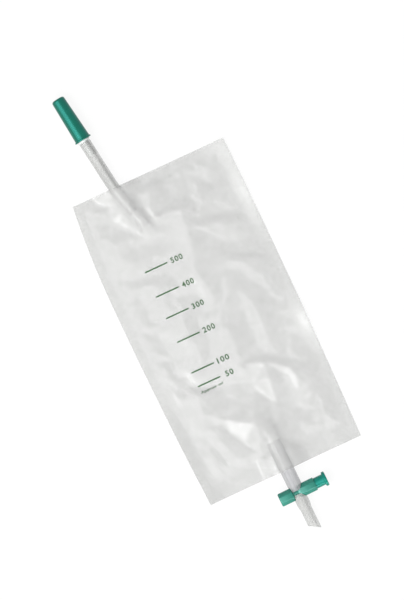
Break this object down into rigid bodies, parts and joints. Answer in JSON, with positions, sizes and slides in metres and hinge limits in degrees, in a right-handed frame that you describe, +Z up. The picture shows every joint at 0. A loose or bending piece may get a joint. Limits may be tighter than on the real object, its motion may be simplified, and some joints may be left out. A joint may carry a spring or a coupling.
{
  "type": "urine drainage bag",
  "caption": "Flat welded film bag for draining urine, with a capped catheter connector on its inlet tube and a push-pull tap on its outlet tube.",
  "frame": {"origin": "middle of the bag on the underside of the back film, where the bag lies flat", "axes": "+Y along the bag towards the inlet tube and its cap, +Z up out of the front film"},
  "size_m": [0.137, 0.394, 0.0141],
  "materials": {
    "pvc_film": "clear soft PVC film, slightly milky and crumpled",
    "pvc_tube": "clear soft PVC tube",
    "clear_plastic": "clear hard plastic, polished",
    "cap_green": "moulded deep green plastic, glossy",
    "tap_green": "moulded sea green plastic, satin gloss",
    "plunger_green": "moulded bright green plastic, glossy"
  },
  "bodies": {
    "bag": {"front_film": "pvc_film", "back_film": "pvc_film", "inlet_tube": "pvc_tube", "non_return_valve": "pvc_film", "catheter_connector": "clear_plastic", "outlet_tube": "pvc_tube", "tap_body": "tap_green", "tail_tube": "pvc_tube"},
    "cap": {"connector_cap": "cap_green"},
    "plunger": {"tap_plunger": "plunger_green"}
  },
  "joints": [
    {"name": "cap_pull", "type": "slide", "parent": "bag", "child": "cap", "axis": [-0.134, 0.991, 0], "range_m": [0, 0.045]},
    {"name": "plunger_slide", "type": "slide", "parent": "bag", "child": "plunger", "axis": [0.9998, 0.0209, 0], "range_m": [-0.006, 0]}
  ]
}
